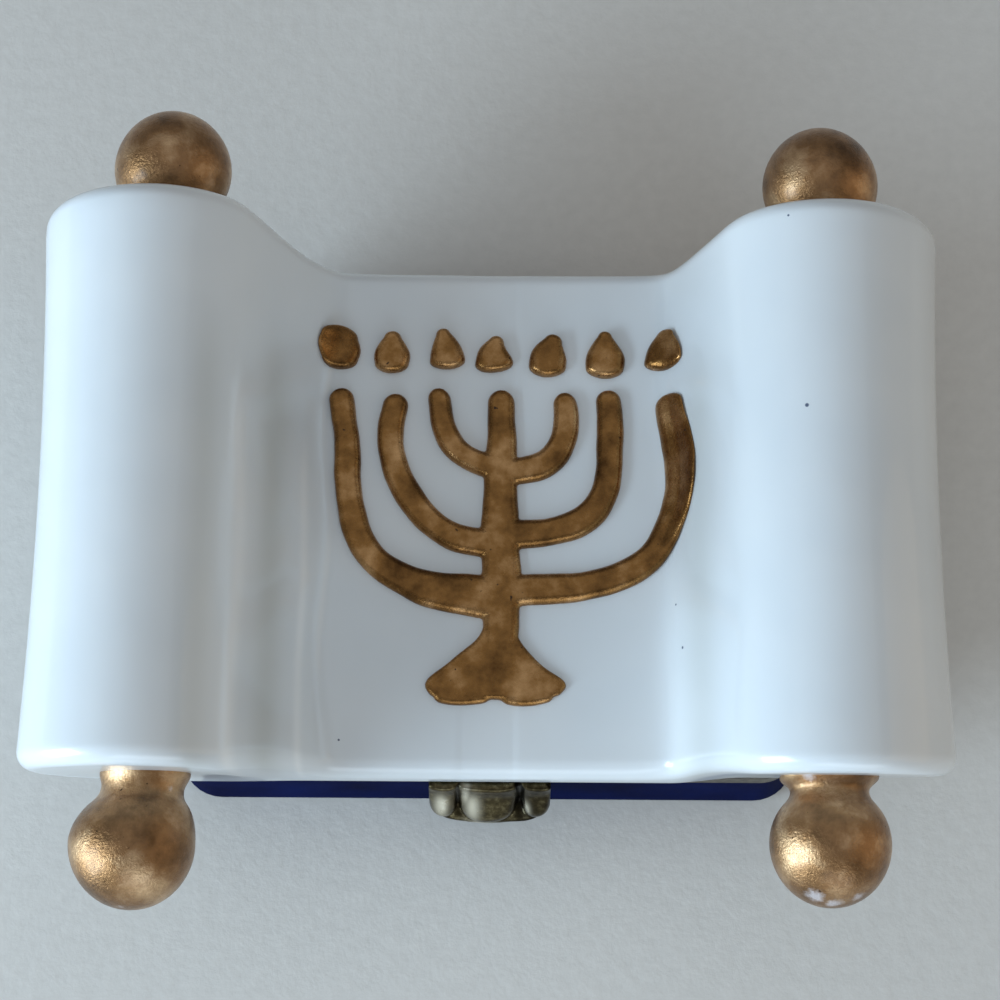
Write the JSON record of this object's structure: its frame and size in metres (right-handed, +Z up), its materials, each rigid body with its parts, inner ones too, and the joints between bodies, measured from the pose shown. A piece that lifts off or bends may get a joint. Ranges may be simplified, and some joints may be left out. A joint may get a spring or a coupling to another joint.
{
  "type": "trinket box",
  "caption": "Small hinged porcelain trinket box shaped as an open scroll with a gilt candelabrum in relief, gilt finials, a dark blue base and a brass clasp.",
  "frame": {"origin": "middle of the whole object's footprint, at the foot ring the box stands on", "axes": "+X to the right along the width across both rolls, -Y to the front where the clasp is, +Z up"},
  "size_m": [0.0646, 0.058, 0.0268],
  "materials": {
    "white_porcelain": "gloss glaze",
    "cobalt_porcelain": "gloss glaze",
    "gilt_ceramic": "gold lustre over glaze",
    "antique_brass": "antique, satin"
  },
  "bodies": {
    "base": {"porcelain_base": "cobalt_porcelain", "base_rim": "antique_brass", "base_hinge_knuckles": "antique_brass", "hinge_pin": "antique_brass", "catch_stud": "antique_brass"},
    "lid": {"porcelain_lid": "white_porcelain", "lid_rim": "antique_brass", "lid_hinge_knuckle": "antique_brass", "clasp_plaque": "antique_brass", "finial_front_left": "gilt_ceramic", "finial_front_right": "gilt_ceramic", "finial_back_left": "gilt_ceramic", "finial_back_right": "gilt_ceramic"}
  },
  "joints": [
    {"name": "lid_hinge", "type": "hinge", "parent": "base", "child": "lid", "pos_m": [0, 0.0194, 0.00875], "axis": [-1, 0, 0], "range_deg": [0, 75]}
  ]
}
